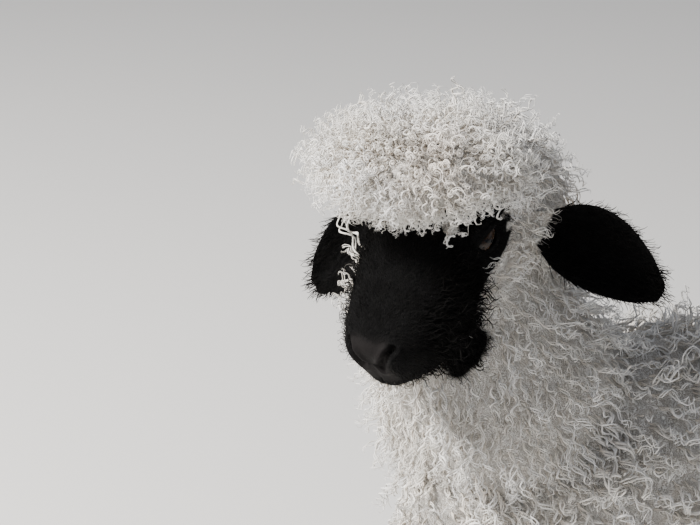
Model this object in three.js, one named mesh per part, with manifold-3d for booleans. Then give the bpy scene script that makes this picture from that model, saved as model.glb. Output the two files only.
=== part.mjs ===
// Valais blacknose lamb at rest: a life-size still model of a lamb about seven weeks old. It lies on
// its brisket and belly with the legs folded, the neck raised, and the head turned to its left.
// Millimetres, +Z up. The lamb faces -Y and its left side is +X. The origin is the middle of the
// flat under the belly, at floor level.
import * as THREE from "three";
import { mergeVertices } from "three/addons/utils/BufferGeometryUtils.js";
import Module from "manifold-3d";

// Driving dimensions, in millimetres and degrees.
const gap = 0.3; // clearance between parts that meet
const bodyLength = 540; // chest to rump, over the fleece
const bodyHeight = 254; // floor to the top of the back, over the fleece
const bodyWidth = 256; // across the ribs, over the fleece
const chestFront = -258; // y of the front of the brisket
const bellySink = 32; // how far the round belly is pressed flat by the floor
const eyeLevel = new THREE.Vector3(55, -232, 362); // midpoint between the eyes
const headTurn = 35; // to the lamb's left
const headDroop = 36; // muzzle below the horizontal
const noseReach = 116; // eyes to the tip of the nose
const skullBack = 84; // eyes to the back of the skull
const eyeRadius = 11.5;
const eyeSpread = 39; // middle of the head to the middle of an eye
const woolLine = 378; // height at which the bare head is parted from the woolly crown
const earLength = 122;
const earWidth = 60;
const earThickness = 9;
const clawLength = 34;
const clawHeight = 22;
const clawWidth = 11; // one of the pair
const clawParting = 1.4;

// The fleece: depth of the coat from skin to tips, least distance between its clumps and their sides.
const torsoFleece = { coat: 34, spacing: 60, sides: 6 };
const neckFleece = { coat: 32, spacing: 47, sides: 6 };
const crownFleece = { coat: 44, spacing: 36, sides: 6 };
const thighFleece = { coat: 26, spacing: 56, sides: 5 };
const foreFleece = { coat: 18, spacing: 46, sides: 5 };
const tailFleece = { coat: 20, spacing: 40, sides: 5 };
const rootDepth = 8; // how far a clump's root is sunk in the core
const seam = 5; // how far beyond its fleece a piece is parted from the next

const { PI, sin, cos, abs, sqrt, max, min, round } = Math;
const radians = THREE.MathUtils.degToRad;
const vec = (x, y, z) => new THREE.Vector3(x, y, z);
const up = vec(0, 0, 1);

const wasm = await Module();
wasm.setup();

// Smooth curve through [position, value] pairs, with flat ends.
function along(stations, at) {
  const last = stations.length - 1;
  const x = max(stations[0][0], min(stations[last][0], at));
  let i = 0;
  while (i < last - 1 && x > stations[i + 1][0]) i += 1;
  const slope = (k) =>
    k <= 0 || k >= last
      ? 0
      : (stations[k + 1][1] - stations[k - 1][1]) / (stations[k + 1][0] - stations[k - 1][0]);
  const [x0, y0] = stations[i];
  const [x1, y1] = stations[i + 1];
  const span = x1 - x0;
  const s = (x - x0) / span;
  const rise = 3 * s * s - 2 * s * s * s;
  const bend0 = s * (1 - s) * (1 - s) * span * slope(i);
  const bend1 = s * s * (s - 1) * span * slope(i + 1);
  return y0 + (y1 - y0) * rise + bend0 + bend1;
}

// A closed surface: a sphere whose every point is carried to place(t, angle), t running pole to pole.
function wrap(around, lengthwise, place) {
  const sphere = new THREE.SphereGeometry(1, around, lengthwise);
  const { position, uv } = sphere.attributes;
  for (let i = 0; i < position.count; i += 1) {
    const t = 1 - uv.getY(i);
    const angle = t < 1e-6 || t > 1 - 1e-6 ? 0 : uv.getX(i) * 2 * PI;
    const p = place(t, angle);
    position.setXYZ(i, p.x, p.y, p.z);
  }
  return solid(sphere);
}

// A closed geometry as a solid with its faces pointing out.
function solid(geometry) {
  geometry.deleteAttribute("normal");
  geometry.deleteAttribute("uv");
  const merged = mergeVertices(geometry, 1e-3);
  const vertProperties = merged.attributes.position.array;
  const triVerts = new Uint32Array(merged.index.array);
  const corner = (k) => new THREE.Vector3().fromArray(vertProperties, 3 * triVerts[k]);
  let volume = 0;
  for (let i = 0; i < triVerts.length; i += 3) {
    volume += corner(i).dot(corner(i + 1).cross(corner(i + 2)));
  }
  if (volume < 0) triVerts.reverse();
  return new wasm.Manifold(new wasm.Mesh({ numProp: 3, vertProperties, triVerts }));
}

const joined = (pieces) => wasm.Manifold.union(pieces);

function largest(body) {
  const bodies = body.decompose();
  return bodies.reduce((a, b) => (b.volume() > a.volume() ? b : a));
}

// A box that fills one side of a plane: everything behind the point, against the normal.
function behind(point, normal) {
  const side = 900;
  const box = new THREE.BoxGeometry(side, side, side).translate(0, 0, -side / 2);
  const turn = new THREE.Quaternion().setFromUnitVectors(up, normal.clone().normalize());
  box.applyQuaternion(turn).translate(point.x, point.y, point.z);
  return solid(box);
}

// Ends of a wrapped form are rounded by this share, and its rings crowd towards them.
const blunt = (t, power) => sin(PI * t) ** power;
const eased = (t) => (1 - cos(PI * t)) / 2;

// The space behind all of a few planes, each a point and its normal.
const region = (planes, grow) =>
  planes
    .map(([point, normal]) => behind(point.clone().addScaledVector(normal, grow), normal))
    .reduce((a, b) => a.intersect(b));

// A round limb along a curve. radius(u) is its thickness along the way, lift stands it off.
function limb(curve, radius, bluntness = 0.5) {
  const steps = 40;
  const frames = curve.computeFrenetFrames(steps, false);
  return {
    curve,
    radius,
    at(t, angle, lift = 0) {
      const u = eased(t);
      const k = min(steps, round(u * steps));
      const stretch = (u - 0.5) * 2 * lift;
      const r = (radius(u) + lift) * blunt(t, bluntness);
      return curve
        .getPoint(u)
        .addScaledVector(frames.tangents[k], stretch)
        .addScaledVector(frames.normals[k], r * cos(angle))
        .addScaledVector(frames.binormals[k], r * sin(angle));
    },
  };
}

function bow(from, through, to) {
  return new THREE.QuadraticBezierCurve3(from, through, to);
}

// A stretch of leg between two joints, rounded past both so that the next one joins it.
function bone(from, to, startRadius, endRadius) {
  const way = to.clone().sub(from).normalize();
  const line = new THREE.LineCurve3(
    from.clone().addScaledVector(way, -0.6 * startRadius),
    to.clone().addScaledVector(way, 0.6 * endRadius),
  );
  return limb(line, (u) => startRadius + (endRadius - startRadius) * u, 0.45);
}

const shell = (form, around, lengthwise, lift = 0) =>
  wrap(around, lengthwise, (t, angle) => form.at(t, angle, lift));

// Repeatable random numbers from 0 to 1.
let seed = 4711;
function random() {
  seed = (seed * 16807) % 2147483647;
  return seed / 2147483647;
}
const jitter = (amount) => (random() * 2 - 1) * amount;

// Places all over a form where a clump could stand: the point at the tips of the coat, the way out of
// the surface there, the way along the form and the lie of the coat.
function standings(form, lieAt) {
  const rings = 26;
  const places = [];
  for (let k = 0; k < rings; k += 1) {
    const at = (k + 0.5 + jitter(0.4)) / rings;
    for (let i = 0; i < 30; i += 1) {
      const angle = (random() + i) * (PI / 15);
      const point = form.at(at, angle);
      const outward = form.at(at, angle, 5).sub(point).normalize();
      const forth = form.at(min(0.995, at + 0.01), angle).sub(form.at(max(0.005, at - 0.01), angle));
      forth.addScaledVector(outward, -forth.dot(outward)).normalize();
      const lie = lieAt(point);
      lie.addScaledVector(outward, -lie.dot(outward)).normalize();
      places.push({ point, outward, forth, lie, size: 1 + jitter(0.08), order: random() });
    }
  }
  return places;
}

// One clump of fleece: a dome of few sides that rises out of the core, leans with the lie of the coat
// and hooks over to one side.
const clumpWidth = [[0, 0.24], [0.4, 0.45], [0.75, 0.5], [1, 0.42]];
function clump({ point, outward, forth, lie, size }, { coat, spacing, sides }, grow = 0) {
  const side = new THREE.Vector3().crossVectors(outward, forth);
  const wide = 1.16 * spacing * size;
  const lowest = -coat / 2 - rootDepth;
  const top = 0.04 * wide;
  return wrap(sides, 4, (t, angle) => {
    const u = eased(t);
    const r = wide * along(clumpWidth, u) * blunt(t, 0.6) + grow;
    const lean = u * u * wide;
    return point
      .clone()
      .addScaledVector(outward, lowest * (1 - u) + top * u + (u - 0.5) * 2 * grow)
      .addScaledVector(side, r * cos(angle) + 0.14 * lean)
      .addScaledVector(forth, r * sin(angle))
      .addScaledVector(lie, 0.3 * lean);
  });
}

// The torso: rounded ends, wider at the haunches, its front bent to the left.
const torsoMiddle = bodyHeight / 2;
const halfWidth = [[0, 92], [0.2, 112], [0.5, bodyWidth / 2], [0.8, 122], [1, 100]];
const backHeight = [[0, 92], [0.22, 130], [0.5, 122], [0.8, 124], [1, 76]];
const bellyDepth = torsoMiddle + bellySink;
const torsoBend = 26;
const torso = {
  at(t, angle, lift = 0) {
    const u = eased(t);
    const r = blunt(t, 0.62 - 0.12 * u);
    const rise = sin(angle) > 0 ? along(backHeight, u) : bellyDepth;
    const sag = 1 - 0.08 * sin(angle);
    return vec(
      torsoBend * (1 - u) ** 2 + (along(halfWidth, u) + lift) * r * cos(angle) * sag,
      chestFront + bodyLength * u + (u - 0.5) * 2 * lift,
      torsoMiddle + (rise + lift) * r * sin(angle),
    );
  },
};

// The neck, from between the shoulders up to the back of the skull. It is seated in the torso on a
// slanting plane.
const neck = limb(
  bow(vec(6, -86, 128), vec(6, -208, 206), vec(26, -182, 384)),
  (u) => along([[0, 88], [0.3, 110], [0.62, 95], [1, 77]], u),
);
const neckSeat = vec(6, -150, 180);
const neckSeatNormal = vec(0, 0.55, -0.84).normalize();

// The head's own frame: x to the nose, y to the lamb's left, z to the crown.
const facing = vec(sin(radians(headTurn)), -cos(radians(headTurn)), 0);
const leftward = new THREE.Vector3().crossVectors(up, facing);
const muzzleWay = facing
  .clone()
  .multiplyScalar(cos(radians(headDroop)))
  .addScaledVector(up, -sin(radians(headDroop)));
const crownWay = new THREE.Vector3().crossVectors(muzzleWay, leftward);
const onHead = (x, y, z) =>
  eyeLevel
    .clone()
    .addScaledVector(muzzleWay, x)
    .addScaledVector(leftward, y)
    .addScaledVector(crownWay, z);

// The bare head: half width, height of the profile above the eyes' line and depth of the jaw below
// it, at places from the back of the skull to the nose.
const cheekLine = -26;
const faceHalf = [[-84, 46], [-40, 54], [0, 53], [35, 47], [65, 45], [92, 43], [116, 38]];
const faceTop = [[-84, 20], [-40, 38], [0, 33], [35, 21], [65, 12], [92, 6], [116, 2]];
const faceJaw = [[-84, -54], [-40, -72], [0, -84], [35, -88], [65, -85], [92, -80], [116, -74]];
const headForm = {
  at(t, angle, lift = 0) {
    const u = eased(t);
    const x = -skullBack + (skullBack + noseReach) * u;
    const r = blunt(t, 0.38);
    const isTop = sin(angle) > 0;
    const rise = isTop ? along(faceTop, x) - cheekLine : cheekLine - along(faceJaw, x);
    const narrow = isTop ? 1 : 1 - 0.26 * sin(angle) ** 2;
    return onHead(
      x + (u - 0.5) * 2 * lift,
      (along(faceHalf, x) + lift) * r * cos(angle) * narrow,
      cheekLine + (rise + lift) * r * sin(angle),
    );
  },
};

// The woolly crown: a flattened ball, level, that hangs lowest over the bridge of the nose and the
// nape and clears the eyes at the sides.
const crownCentre = onHead(-11, 0, 47);
const crownHalf = vec(94, 90, 55); // forwards, sideways, upwards
const fringeDrop = 60;
const templeDrop = 40;
const crown = {
  at(t, angle, lift = 0) {
    const level = sin(PI * t);
    const drop = templeDrop + (fringeDrop - templeDrop) * cos(angle) ** 2;
    const height = t < 0.5 ? drop : crownHalf.z;
    return crownCentre
      .clone()
      .addScaledVector(facing, (crownHalf.x + lift) * level * cos(angle))
      .addScaledVector(leftward, (crownHalf.y + lift) * level * sin(angle))
      .addScaledVector(up, (height + lift) * -cos(PI * t));
  },
};

// An ear: a broad leaf on a rolled stalk, cupped forwards, that droops and sweeps back by so many
// degrees.
const earShape = [[0, 0.42], [0.12, 0.5], [0.35, 0.92], [0.6, 1], [0.85, 0.78], [1, 0.5]];
function ear(side, droop, sweep) {
  const root = onHead(-32, side * 46, -22);
  const outward = leftward
    .clone()
    .multiplyScalar(side * cos(radians(sweep)))
    .addScaledVector(facing, -sin(radians(sweep)));
  const tipWay = outward
    .multiplyScalar(cos(radians(droop)))
    .addScaledVector(up, -sin(radians(droop)));
  const cupTowards = facing.clone().addScaledVector(up, 0.35);
  const cupWay = cupTowards.addScaledVector(tipWay, -cupTowards.dot(tipWay)).normalize();
  const acrossWay = new THREE.Vector3().crossVectors(tipWay, cupWay);
  return {
    at(t, angle, lift = 0) {
      const u = eased(t);
      const round = blunt(t, 0.4);
      const half = (earWidth / 2) * along(earShape, u) * round;
      const across = (half + lift * round) * cos(angle);
      const cup = 0.42 * half * (across / max(half, 1)) ** 2 - 5 * sin(PI * u);
      const thick = (earThickness / 2 + lift) * round * sin(angle);
      return root
        .clone()
        .addScaledVector(tipWay, earLength * u + (u - 0.5) * 2 * lift)
        .addScaledVector(acrossWay, across)
        .addScaledVector(cupWay, cup + thick);
    },
  };
}
const ears = { left: ear(1, 22, 15), right: ear(-1, 45, -10) };

// The folded legs, as bones between their joints, and the hoof's line from fetlock to toe.
function foreleg(side, forward) {
  const elbow = vec(side * 84 + 8, -84 - forward, 70);
  const knee = vec(side * 70 + 14, -250 - forward, 16);
  const fetlock = vec(side * 64 + 12, -140 - forward, 14);
  const toe = vec(side * 62 + 10, -104 - forward, 11);
  return {
    bones: [bone(elbow, knee, 40, 23), bone(knee, fetlock, 20, 15), bone(fetlock, toe, 15, 12)],
    hoof: [fetlock, toe],
    isSoleUp: true,
    fleece: foreFleece,
    bounds: [
      [vec(side * 44 + 12, 0, 0), vec(-side, 0, 0.12).normalize()],
      [vec(0, -90, 112), vec(0, -0.24, 1).normalize()],
      [vec(0, -66, 0), vec(0, 1, 0)],
    ],
  };
}

function hindleg(side, forward) {
  const hip = vec(side * 58, 176 - forward, 112);
  const stifle = vec(side * 96, 84 - forward, 76);
  const hock = vec(side * 118, 238 - forward, 20);
  const fetlock = vec(side * 128, 118 - forward, 14);
  const toe = vec(side * 132, 84 - forward, 11);
  return {
    bones: [
      bone(hip, stifle, 88, 58),
      bone(stifle, hock, 50, 24),
      bone(hock, fetlock, 20, 15),
      bone(fetlock, toe, 15, 12),
    ],
    hoof: [fetlock, toe],
    isSoleUp: false,
    fleece: thighFleece,
    bounds: [
      [vec(side * 74, 0, 0), vec(-side, 0, 0.14).normalize()],
      [vec(0, 60, 150), vec(0, -0.12, 1).normalize()],
      [vec(0, 56, 0), vec(0, -1, 0)],
    ],
  };
}
const legs = {
  foreleg_left: foreleg(1, 0),
  foreleg_right: foreleg(-1, 8),
  hindleg_left: hindleg(1, 0),
  hindleg_right: hindleg(-1, -6),
};

// The two claws of a hoof, side by side along its line.
const clawOutline = (grow) => {
  const outline = new THREE.Shape();
  outline.moveTo(-grow, -grow);
  outline.lineTo(clawLength + grow, -grow);
  outline.quadraticCurveTo(
    clawLength + grow,
    clawHeight * 0.5,
    clawLength * 0.62,
    clawHeight * 0.82 + grow,
  );
  outline.lineTo(-grow, clawHeight + grow);
  outline.closePath();
  return outline;
};
function clawMesh({ hoof: [fetlock, toe], isSoleUp }, half, grow) {
  const depth = clawWidth + 2 * grow;
  const claw = new THREE.ExtrudeGeometry(clawOutline(grow), {
    depth,
    bevelEnabled: false,
    curveSegments: 5,
  });
  claw.rotateX(PI / 2).translate(0, half * (clawWidth + clawParting) * 0.5 + depth / 2, 0);
  if (isSoleUp) claw.rotateX(PI).translate(0, 0, clawHeight);
  const mesh = new THREE.Mesh(claw);
  mesh.position.set(toe.x, toe.y, 0);
  mesh.rotation.z = Math.atan2(toe.y - fetlock.y, toe.x - fetlock.x);
  return mesh;
}

// The tail hangs from the rump and its end lies on the floor.
const tail = limb(
  bow(vec(0, 226, 170), vec(2, 306, 168), vec(14, 300, -16)),
  (u) => along([[0, 34], [0.5, 30], [1, 22]], u),
);

// The eyes, and the lids round them with an almond opening that looks forwards and out.
function eyeMesh(side, grow) {
  const mesh = new THREE.Mesh(new THREE.SphereGeometry(eyeRadius + grow, 12, 8));
  mesh.position.copy(onHead(3, side * eyeSpread, -3));
  return mesh;
}
function lids(side) {
  const mass = limb(
    bow(onHead(-16, side * 39, -3), onHead(3, side * 46, -3), onHead(23, side * 36, -5)),
    (u) => 6 + 8.5 * sin(PI * u),
    0.8,
  );
  return shell(mass, 8, 5);
}
function lidOpening(side) {
  const almond = new THREE.SphereGeometry(1, 8, 6).scale(10.5, 20, 6);
  const gaze = new THREE.Matrix4().makeBasis(muzzleWay, leftward, crownWay);
  const centre = onHead(5, side * (eyeSpread + 12), -4);
  return solid(almond.applyMatrix4(gaze).translate(centre.x, centre.y, centre.z));
}

// A round rod that follows a curve over the face, thickest in its middle.
function rod(points, radius, around = 8, lengthwise = 12) {
  return shell(limb(new THREE.CatmullRomCurve3(points), () => radius, 0.6), around, lengthwise);
}

// The line of the mouth runs round the muzzle just above the chin.
const mouthPoints = [-1, -0.8, -0.55, -0.3, 0, 0.3, 0.55, 0.8, 1].map((s) =>
  headForm.at(0.915 - 0.25 * s * s, radians(-90 + 62 * Math.sign(s) * sqrt(abs(s)))),
);
const nostril = (side, radius) =>
  rod(
    [onHead(115, side * 6, -27), onHead(114, side * 13, -21), onHead(107, side * 21, -13)],
    radius,
    6,
    5,
  );

// One side of the level plane that parts the crown from the bare head.
const aboveLine = (grow) => behind(vec(0, 0, woolLine - grow), vec(0, 0, -1));
const belowLine = (grow) => behind(vec(0, 0, woolLine - gap + grow), up);

// A mesh where it stands, as a solid.
function placed(mesh) {
  mesh.updateMatrix();
  return solid(mesh.geometry.clone().applyMatrix4(mesh.matrix));
}

const face = (grow) =>
  joined([shell(headForm, 20, 15, grow), lids(1), lids(-1), rod(mouthPoints, 4.2 + grow, 5, 10)])
    .subtract(joined([lidOpening(1), lidOpening(-1)]))
    .subtract(joined([rod(mouthPoints, 1.6, 4, 10), nostril(1, 3.4), nostril(-1, 3.4)]))
    .intersect(belowLine(grow));

// The fleece as one body: a core that fills the coat to half its depth, and the clumps in it.
const lieBack = () => vec(jitter(0.3), 0.7, -0.8);
const lieDown = () => vec(jitter(0.3), 0.25, -1);
const lieFromPoll = (point) =>
  point.clone().sub(crownCentre).setZ(0).normalize().addScaledVector(up, -0.6);
const woolly = [
  { form: crown, fleece: crownFleece, lie: lieFromPoll, sides: [10, 6] },
  { form: neck, fleece: neckFleece, lie: lieDown, sides: [10, 6] },
  { form: tail, fleece: tailFleece, lie: lieDown, sides: [6, 6] },
];
for (const leg of Object.values(legs)) {
  for (const form of leg.bones.slice(0, 2)) {
    woolly.push({ form, fleece: leg.fleece, lie: lieBack, sides: [8, 5] });
  }
}
woolly.push({ form: torso, fleece: torsoFleece, lie: lieBack, sides: [14, 9] });
const cores = joined([
  ...woolly.map(({ form, fleece, sides }) => shell(form, ...sides, -fleece.coat / 2)),
  shell(headForm, 12, 8, -4).intersect(aboveLine(0)),
]);
const candidates = woolly
  .flatMap(({ form, fleece, lie }) => standings(form, lie).map((place) => ({ ...place, fleece })))
  .filter(({ point }) => point.z > 14)
  .sort((a, b) => a.order - b.order);
const clumps = [];
for (const place of candidates) {
  const { point, fleece } = place;
  const isCrowded = clumps.some(
    (other) => other.point.distanceTo(point) < (other.fleece.spacing + fleece.spacing) / 2,
  );
  if (!isCrowded) {
    const body = clump(place, fleece);
    if (body.subtract(cores).volume() > 0.3 * body.volume()) clumps.push({ point, fleece, body });
  }
}
const shins = Object.values(legs).flatMap((leg) => leg.bones.slice(2).map((b) => shell(b, 8, 5)));
const aboveFloor = behind(vec(0, 0, 0), vec(0, 0, -1));
let wool = joined([cores, ...shins, ...clumps.map(({ body }) => body)]).intersect(aboveFloor);

const woolWhite = 0xe6e0d4;
const furBlack = 0x0d0c0d;
const hornBlack = 0x1b1816;
const eyeBrown = 0x1d120b;
const group = new THREE.Group();
const head = new THREE.Group();
group.add(head);

function add(parent, name, mesh, colour, roughness) {
  mesh.name = name;
  mesh.material = new THREE.MeshStandardMaterial({ color: colour, roughness, metalness: 0 });
  parent.add(mesh);
}

function addSolid(parent, name, body, colour, roughness = 0.95) {
  const { vertProperties, triVerts } = largest(body).getMesh();
  const geometry = new THREE.BufferGeometry();
  geometry.setAttribute("position", new THREE.BufferAttribute(vertProperties, 3));
  geometry.setIndex(new THREE.BufferAttribute(triVerts, 1));
  add(parent, name, new THREE.Mesh(geometry), colour, roughness);
}

// The bare parts come first. The fleece is cut clear of them.
const eyeRooms = joined([placed(eyeMesh(1, gap)), placed(eyeMesh(-1, gap))]);
const earRooms = joined([shell(ears.left, 10, 10, gap), shell(ears.right, 10, 10, gap)]);
add(head, "eye_left", eyeMesh(1, 0), eyeBrown, 0.1);
add(head, "eye_right", eyeMesh(-1, 0), eyeBrown, 0.1);
addSolid(head, "ear_left", shell(ears.left, 10, 10), furBlack);
addSolid(head, "ear_right", shell(ears.right, 10, 10), furBlack);
addSolid(head, "face", face(0).subtract(joined([eyeRooms, earRooms])), furBlack);
wool = wool.subtract(joined([eyeRooms, earRooms, face(gap)]));

// The fleece is then parted into pieces by thin cuts, each cut a little beyond its own clumps.
function part(parent, name, cutter) {
  addSolid(parent, name, wool.intersect(cutter(0)), woolWhite);
  wool = wool.subtract(cutter(gap));
}
part(
  head,
  "crown",
  (grow) =>
    joined([
      shell(crown, 12, 7, seam + grow),
      shell(headForm, 10, 7, seam + grow).intersect(aboveLine(grow)),
    ]),
);
part(group, "tail", (grow) => shell(tail, 7, 6, seam + grow));
for (const [name, leg] of Object.entries(legs)) {
  const limbGroup = new THREE.Group();
  group.add(limbGroup);
  for (const [side, half] of [["outer", 1], ["inner", -1]]) {
    add(limbGroup, `claw_${side}_${name}`, clawMesh(leg, half, 0), hornBlack, 0.5);
    wool = wool.subtract(placed(clawMesh(leg, half, gap)));
  }
  part(limbGroup, name, (grow) => region(leg.bounds, grow));
}
part(group, "neck", (grow) => region([[neckSeat, neckSeatNormal]], grow));
addSolid(group, "torso", wool, woolWhite);

export default group;
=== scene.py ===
# %% [markdown]
# # A valais blacknose lamb at rest
#
# The real animal is a lamb about seven weeks old. It lies on folded legs with its neck raised
# and its head turned to its left. A cap of small white ringlets hangs over a black face, the neck
# and body carry looser white locks, and the ears, knees, hocks and feet are black.
#
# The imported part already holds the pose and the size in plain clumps. Here one fine skin takes the
# place of the solids of flesh, and solid mesh locks grow from it in the way the fleece lies.

import bpy
import numpy as np
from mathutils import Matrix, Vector
from mathutils.kdtree import KDTree


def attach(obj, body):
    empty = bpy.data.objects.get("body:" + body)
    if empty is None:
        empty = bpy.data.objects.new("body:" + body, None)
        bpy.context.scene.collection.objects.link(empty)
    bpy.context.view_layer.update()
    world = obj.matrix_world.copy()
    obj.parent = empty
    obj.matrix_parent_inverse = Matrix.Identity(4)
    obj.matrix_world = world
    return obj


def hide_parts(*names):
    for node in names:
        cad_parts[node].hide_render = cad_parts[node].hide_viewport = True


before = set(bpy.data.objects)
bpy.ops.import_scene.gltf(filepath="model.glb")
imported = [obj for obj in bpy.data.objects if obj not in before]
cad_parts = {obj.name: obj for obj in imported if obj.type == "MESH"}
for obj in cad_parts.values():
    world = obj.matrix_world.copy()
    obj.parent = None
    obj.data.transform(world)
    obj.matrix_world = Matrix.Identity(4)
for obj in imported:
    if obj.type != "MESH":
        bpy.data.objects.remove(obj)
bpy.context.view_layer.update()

print("solids of the packed part:", len(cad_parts))

# %% [markdown]
# ## The camera
#
# A long lens from about two metres gives the flat perspective of a picture taken across a pen.
# The camera is placed from one point that is easy to find in both worlds, the lamb's left eye,
# and its place in the picture. The rest is a turn, a tilt and a distance.

# %% Place the camera
EYE = Vector((0.0894, -0.205, 0.363))
EYE_PIXEL = (487, 229)
PICTURE = (700, 525)
METRES_PER_PIXEL = 0.00072
DISTANCE = 2.0
turn, tilt = np.radians(72), np.radians(18)

back = Vector((np.cos(tilt) * np.sin(turn), -np.cos(tilt) * np.cos(turn), np.sin(tilt)))
right = Vector((np.cos(turn), np.sin(turn), 0))
up = back.cross(right)
centre = EYE + right * (PICTURE[0] / 2 - EYE_PIXEL[0]) * METRES_PER_PIXEL
centre -= up * (PICTURE[1] / 2 - EYE_PIXEL[1]) * METRES_PER_PIXEL

camera_data = bpy.data.cameras.new("camera")
camera_data.sensor_width = 36
camera_data.lens = 36 * DISTANCE / (PICTURE[0] * METRES_PER_PIXEL)
camera = bpy.data.objects.new("camera", camera_data)
camera.location = centre + back * DISTANCE
camera.rotation_euler = back.to_track_quat("Z", "Y").to_euler()
bpy.context.scene.collection.objects.link(camera)
bpy.context.scene.camera = camera
print("lens", round(camera_data.lens, 1), "mm")

# %% [markdown]
# ## The forms of the body
#
# The body is made of a few smooth forms, each a formula that turns a place along it and an angle
# round it into a point. They are the formulas that the solids came from, so the skin lands where the
# solids are. The sizes are in millimetres. `lift` grows or shrinks a form, and a lift below nought
# puts the skin a certain depth under the tips of the fleece.

# %% Formulas for rounded forms
def vec(*xyz):
    return np.array(xyz, float)


def unit(v):
    return v / np.linalg.norm(v, axis=-1, keepdims=True)


def smooth(low, high, value):
    """0 below low, 1 above high, and an even rise between them."""
    s = np.clip((value - low) / (high - low), 0, 1)
    return s * s * (3 - 2 * s)


def along(stations, at):
    """A smooth curve through pairs of place and value, level at its ends."""
    x, y = np.array(stations, float).T
    at = np.clip(at, x[0], x[-1])
    slope = np.zeros(len(x))
    slope[1:-1] = (y[2:] - y[:-2]) / (x[2:] - x[:-2])
    i = np.clip(np.searchsorted(x, at, side="right") - 1, 0, len(x) - 2)
    span = x[i + 1] - x[i]
    s = (at - x[i]) / span
    rise = y[i] + (y[i + 1] - y[i]) * (3 * s**2 - 2 * s**3)
    return rise + span * (s * (1 - s) ** 2 * slope[i] + s**2 * (s - 1) * slope[i + 1])


def blunt(t, power):
    return np.sin(np.pi * t) ** power


def eased(t):
    return (1 - np.cos(np.pi * t)) / 2


def limb(line, radius, bluntness=0.5):
    """A round limb about a line; line(u) and radius(u) take u from 0 to 1."""

    def at(t, angle, lift=0.0):
        u = eased(t)
        way = unit(line(u + 1e-3) - line(u - 1e-3))
        out = unit(np.cross(way, vec(1, 0, 0)))
        other = np.cross(way, out)
        r = ((radius(u) + lift) * blunt(t, bluntness))[..., None]
        ring = out * np.cos(angle)[..., None] + other * np.sin(angle)[..., None]
        return line(u) + way * ((u - 0.5) * 2 * lift)[..., None] + ring * r

    return at


def bow(start, through, end):
    def line(u):
        u = np.asarray(u)[..., None]
        return (1 - u) ** 2 * start + 2 * u * (1 - u) * through + u**2 * end

    return line


def bone(start, end, start_radius, end_radius):
    """A stretch of leg, rounded past both of its joints."""
    way = unit(end - start)
    a, b = start - 0.6 * start_radius * way, end + 0.6 * end_radius * way
    return limb(bow(a, (a + b) / 2, b), lambda u: start_radius + (end_radius - start_radius) * u, 0.45)


# %% Torso, neck and tail
def torso(t, angle, lift=0.0):
    u = eased(t)
    r = blunt(t, 0.62 - 0.12 * u)
    half = along([[0, 92], [0.2, 112], [0.5, 128], [0.8, 122], [1, 100]], u) + lift
    top = along([[0, 92], [0.22, 130], [0.5, 122], [0.8, 124], [1, 76]], u)
    rise = np.where(np.sin(angle) > 0, top, 159) + lift
    x = 26 * (1 - u) ** 2 + half * r * np.cos(angle) * (1 - 0.08 * np.sin(angle))
    return np.stack([x, -258 + 540 * u + (u - 0.5) * 2 * lift, 127 + rise * r * np.sin(angle)], -1)


neck = limb(
    bow(vec(6, -86, 128), vec(6, -208, 206), vec(26, -182, 384)),
    lambda u: along([[0, 88], [0.3, 110], [0.62, 95], [1, 77]], u),
)
tail = limb(
    bow(vec(0, 226, 170), vec(2, 306, 168), vec(14, 300, -16)),
    lambda u: along([[0, 34], [0.5, 30], [1, 22]], u),
)

# %% Legs, folded under the body
legs = {}
for side, name, forward in ((1, "left", 0), (-1, "right", 8)):
    legs["foreleg_" + name] = [
        (vec(side * 84 + 8, -84 - forward, 70), 40),
        (vec(side * 70 + 14, -250 - forward, 16), 23),
        (vec(side * 64 + 12, -140 - forward, 14), 15),
        (vec(side * 62 + 10, -104 - forward, 11), 12),
    ]
for side, name, forward in ((1, "left", 0), (-1, "right", -6)):
    legs["hindleg_" + name] = [
        (vec(side * 58, 176 - forward, 112), 88),
        (vec(side * 96, 84 - forward, 76), 58),
        (vec(side * 118, 238 - forward, 20), 24),
        (vec(side * 128, 118 - forward, 14), 15),
        (vec(side * 132, 84 - forward, 11), 12),
    ]

# %% The head's own frame: x to the nose, y to the lamb's left, z to the crown
EYE_LEVEL = vec(55, -232, 362)
head_turn, head_droop = np.radians(35), np.radians(36)
facing = vec(np.sin(head_turn), -np.cos(head_turn), 0)
leftward = np.cross(vec(0, 0, 1), facing)
muzzle_way = facing * np.cos(head_droop) - vec(0, 0, 1) * np.sin(head_droop)
crown_way = np.cross(muzzle_way, leftward)
head_axes = np.stack([muzzle_way, leftward, crown_way])


def on_head(x, y, z):
    return EYE_LEVEL + np.stack(np.broadcast_arrays(x, y, z), -1) @ head_axes


def in_head(points):
    return (points - EYE_LEVEL) @ head_axes.T


# Half the head's width, and the heights of its top and its jaw, from the poll to the nose.
FACE_HALF = [[-84, 46], [-40, 54], [0, 53], [35, 47], [65, 45], [92, 43], [116, 38]]
FACE_TOP = [[-84, 20], [-40, 38], [0, 33], [35, 21], [65, 12], [92, 6], [116, 2]]
FACE_JAW = [[-84, -54], [-40, -72], [0, -84], [35, -88], [65, -85], [92, -80], [116, -74]]
WIDEST_LEVEL = -26


def head(t, angle, lift=0.0):
    u = eased(t)
    x = -84 + 200 * u
    is_top = np.sin(angle) > 0
    rise = np.where(is_top, along(FACE_TOP, x) - WIDEST_LEVEL, WIDEST_LEVEL - along(FACE_JAW, x)) + lift
    narrow = np.where(is_top, 1, 1 - 0.26 * np.sin(angle) ** 2)
    y = (along(FACE_HALF, x) + lift) * blunt(t, 0.38) * np.cos(angle) * narrow
    z = WIDEST_LEVEL + rise * blunt(t, 0.38) * np.sin(angle)
    return on_head(x + (u - 0.5) * 2 * lift, y, z)


CROWN_CENTRE = on_head(-11, 0, 47)


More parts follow.
